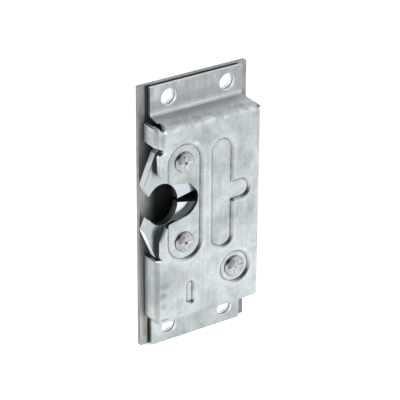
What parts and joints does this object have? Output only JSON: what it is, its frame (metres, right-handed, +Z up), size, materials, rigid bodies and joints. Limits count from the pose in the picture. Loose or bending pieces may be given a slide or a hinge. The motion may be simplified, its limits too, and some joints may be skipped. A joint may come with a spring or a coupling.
{
  "type": "door latch",
  "caption": "Flat rotary door latch: a back plate and a folded sheet cover with mounting flanges, holding mirrored claws that close round a striker and the pawl that keeps them shut.",
  "frame": {"origin": "centre of the back plate's back face", "axes": "+X to the right as seen from the front, -Y out of the front, +Z up; the claws open to -X"},
  "size_m": [0.0527, 0.0121, 0.1142],
  "materials": {
    "zinc_sheet": "cloudy zinc plate",
    "bright_zinc": "smooth bluish zinc plate",
    "rivet_steel": "satin, staked",
    "spring_wire": "drawn wire"
  },
  "bodies": {
    "housing": {"back_plate": "zinc_sheet", "cover": "zinc_sheet", "upper_claw_rivet": "rivet_steel", "lower_claw_rivet": "rivet_steel", "pawl_rivet": "rivet_steel", "upper_claw_bush": "rivet_steel", "lower_claw_bush": "rivet_steel", "pawl_bush": "rivet_steel", "upper_claw_washer": "rivet_steel", "lower_claw_washer": "rivet_steel", "pawl_washer": "rivet_steel", "upper_claw_spring": "spring_wire", "lower_claw_spring": "spring_wire", "pawl_spring": "spring_wire"},
    "upper_claw": {"upper_claw": "bright_zinc"},
    "lower_claw": {"lower_claw": "bright_zinc"},
    "pawl": {"pawl": "bright_zinc", "release_pin": "rivet_steel"}
  },
  "joints": [
    {"name": "upper_claw_pivot", "type": "hinge", "parent": "housing", "child": "upper_claw", "pos_m": [-0.00955, -0.0061, 0.025], "axis": [0, 1, 0], "range_deg": [0, 18], "deforming": ["upper_claw_spring"]},
    {"name": "lower_claw_pivot", "type": "hinge", "parent": "housing", "child": "lower_claw", "pos_m": [-0.00955, -0.0061, -0.01], "axis": [0, 1, 0], "range_deg": [-18, 0], "deforming": ["lower_claw_spring"]},
    {"name": "pawl_pivot", "type": "hinge", "parent": "housing", "child": "pawl", "pos_m": [0.01445, -0.0061, -0.028], "axis": [0, 1, 0], "range_deg": [0, 12], "stiffness_Nm_per_rad": 0.05, "springref_deg": -11.46, "deforming": ["pawl_spring"]}
  ],
  "couplings": [
    {"joint": "lower_claw_pivot", "follows": "upper_claw_pivot", "ratio": -1},
    {"joint": "pawl_pivot", "follows": "upper_claw_pivot", "ratio": 0.6666}
  ]
}
